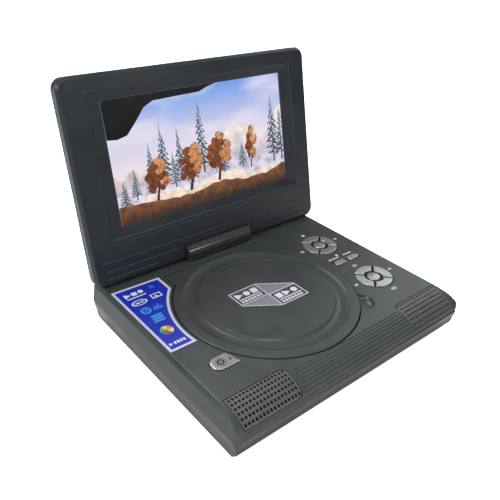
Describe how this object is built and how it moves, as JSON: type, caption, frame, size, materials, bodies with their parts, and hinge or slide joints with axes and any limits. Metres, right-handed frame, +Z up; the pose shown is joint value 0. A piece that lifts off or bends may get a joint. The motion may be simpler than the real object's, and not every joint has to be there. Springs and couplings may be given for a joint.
{
  "type": "portable disc player",
  "caption": "Clamshell portable disc player: swivelling and tilting wide screen, hinged round disc door, ring keypads, twin front speakers and side sockets.",
  "frame": {"origin": "on the table, under the middle of the open player", "axes": "+X to the user's right, +Y to the rear, +Z up"},
  "size_m": [0.209, 0.1948, 0.172],
  "materials": {
    "case": "charcoal, fine moulded texture",
    "lid": "dark charcoal, fine moulded texture",
    "barrel": "near black, glossy",
    "silver_key": "silver paint, polished",
    "black_plastic": "plain",
    "grille": "perforated",
    "label": "printed film",
    "badge": "printed foil",
    "lcd_front": null,
    "lcd_back": "pressed frame",
    "rubber": "moulded",
    "steel": "plated",
    "bright_steel": "ground",
    "board": "printed circuit board",
    "chip": "moulded",
    "silicone": "moulded",
    "battery": "shrink wrap",
    "lens": "coated"
  },
  "bodies": {
    "base": {"bottom_case": "case", "top_case": "case", "rubber_feet": "rubber", "case_screws": "steel", "inner_screws": "steel", "main_board": "board", "main_chips": "chip", "key_board": "board", "key_switches": "steel", "key_mat": "silicone", "speakers": "black_plastic", "grille_left": "grille", "grille_right": "grille", "disc_well": "black_plastic", "loader_plate": "steel", "loader_grommets": "rubber", "spindle_motor": "steel", "guide_rods": "bright_steel", "sled_motor": "steel", "battery_pack": "battery", "power_jack": "black_plastic", "headphone_jack": "black_plastic", "av_jack": "black_plastic", "label_sticker": "label", "door_hinge_pins": "bright_steel", "volume_pot": "black_plastic"},
    "turret": {"hinge_barrel": "barrel", "swivel_shaft": "steel", "swivel_clip": "steel"},
    "screen": {"front_bezel": "lid", "rear_cover": "lid", "lcd_glass": "lcd_front", "lcd_panel": "lcd_back", "screen_board": "board", "hinge_shaft": "bright_steel", "hinge_brackets": "steel", "screen_screws": "steel"},
    "door": {"disc_door": "case", "door_badge": "badge"},
    "spindle": {"spindle_hub": "black_plastic", "hub_balls": "bright_steel"},
    "pickup": {"pickup_sled": "black_plastic"},
    "lens": {"laser_lens": "lens"},
    "lead_screw": {"lead_screw": "bright_steel"},
    "open_button": {"open_button": "silver_key"},
    "door_latch": {"door_latch": "black_plastic"},
    "power_switch": {"power_switch": "black_plastic"},
    "volume_wheel": {"volume_wheel": "black_plastic"},
    "key_rear_right": {"key_rear_right": "silver_key"},
    "key_rear_up": {"key_rear_up": "silver_key"},
    "key_rear_left": {"key_rear_left": "silver_key"},
    "key_rear_down": {"key_rear_down": "silver_key"},
    "key_rear_middle": {"key_rear_middle": "silver_key"},
    "key_front_right": {"key_front_right": "silver_key"},
    "key_front_up": {"key_front_up": "silver_key"},
    "key_front_left": {"key_front_left": "silver_key"},
    "key_front_down": {"key_front_down": "silver_key"},
    "key_front_middle": {"key_front_middle": "silver_key"},
    "key_long_left": {"key_long_left": "silver_key"},
    "key_long_right": {"key_long_right": "silver_key"}
  },
  "joints": [
    {"name": "screen_swivel", "type": "hinge", "parent": "base", "child": "turret", "pos_m": [0, 0.059, 0.0384], "axis": [0, 0, 1], "range_deg": [-180, 0]},
    {"name": "screen_tilt", "type": "hinge", "parent": "turret", "child": "screen", "pos_m": [0, 0.059, 0.0384], "axis": [-1, 0, 0], "range_deg": [-102.75, 27.25]},
    {"name": "door_hinge", "type": "hinge", "parent": "base", "child": "door", "pos_m": [-0.012, 0.0452, 0.0308], "axis": [-1, 0, 0], "range_deg": [0, 60]},
    {"name": "spindle_spin", "type": "hinge", "parent": "base", "child": "spindle", "pos_m": [-0.012, -0.0152, 0.0213], "axis": [0, 0, 1], "continuous": true},
    {"name": "pickup_slide", "type": "slide", "parent": "base", "child": "pickup", "axis": [0, -1, 0], "range_m": [0, 0.028]},
    {"name": "lens_focus", "type": "slide", "parent": "pickup", "child": "lens", "axis": [0, 0, 1], "range_m": [-0.0005, 0.0005]},
    {"name": "lead_screw_turn", "type": "hinge", "parent": "base", "child": "lead_screw", "pos_m": [0.0166, -0.0417, 0.0165], "axis": [0, 1, 0], "range_deg": [0, 3360]},
    {"name": "open_button_press", "type": "slide", "parent": "base", "child": "open_button", "axis": [0, 0, -1], "range_m": [0, 0.001]},
    {"name": "door_latch_slide", "type": "slide", "parent": "base", "child": "door_latch", "axis": [-0.848, -0.5299, 0], "range_m": [0, 0.0012]},
    {"name": "power_switch_slide", "type": "slide", "parent": "base", "child": "power_switch", "axis": [0, -1, 0], "range_m": [0, 0.0045]},
    {"name": "volume_wheel_turn", "type": "hinge", "parent": "base", "child": "volume_wheel", "pos_m": [0.0939, -0.0317, 0.0113], "axis": [0, 0, 1], "range_deg": [-135, 135]},
    {"name": "key_rear_right_press", "type": "slide", "parent": "base", "child": "key_rear_right", "axis": [0, 0, -1], "range_m": [0, 0.0005]},
    {"name": "key_rear_up_press", "type": "slide", "parent": "base", "child": "key_rear_up", "axis": [0, 0, -1], "range_m": [0, 0.0005]},
    {"name": "key_rear_left_press", "type": "slide", "parent": "base", "child": "key_rear_left", "axis": [0, 0, -1], "range_m": [0, 0.0005]},
    {"name": "key_rear_down_press", "type": "slide", "parent": "base", "child": "key_rear_down", "axis": [0, 0, -1], "range_m": [0, 0.0005]},
    {"name": "key_rear_middle_press", "type": "slide", "parent": "base", "child": "key_rear_middle", "axis": [0, 0, -1], "range_m": [0, 0.0005]},
    {"name": "key_front_right_press", "type": "slide", "parent": "base", "child": "key_front_right", "axis": [0, 0, -1], "range_m": [0, 0.0005]},
    {"name": "key_front_up_press", "type": "slide", "parent": "base", "child": "key_front_up", "axis": [0, 0, -1], "range_m": [0, 0.0005]},
    {"name": "key_front_left_press", "type": "slide", "parent": "base", "child": "key_front_left", "axis": [0, 0, -1], "range_m": [0, 0.0005]},
    {"name": "key_front_down_press", "type": "slide", "parent": "base", "child": "key_front_down", "axis": [0, 0, -1], "range_m": [0, 0.0005]},
    {"name": "key_front_middle_press", "type": "slide", "parent": "base", "child": "key_front_middle", "axis": [0, 0, -1], "range_m": [0, 0.0005]},
    {"name": "key_long_left_press", "type": "slide", "parent": "base", "child": "key_long_left", "axis": [0, 0, -1], "range_m": [0, 0.0005]},
    {"name": "key_long_right_press", "type": "slide", "parent": "base", "child": "key_long_right", "axis": [0, 0, -1], "range_m": [0, 0.0005]}
  ],
  "couplings": [
    {"joint": "door_latch_slide", "follows": "open_button_press", "ratio": 1.2},
    {"joint": "lead_screw_turn", "follows": "pickup_slide", "rad_per_m": 2094.4}
  ]
}
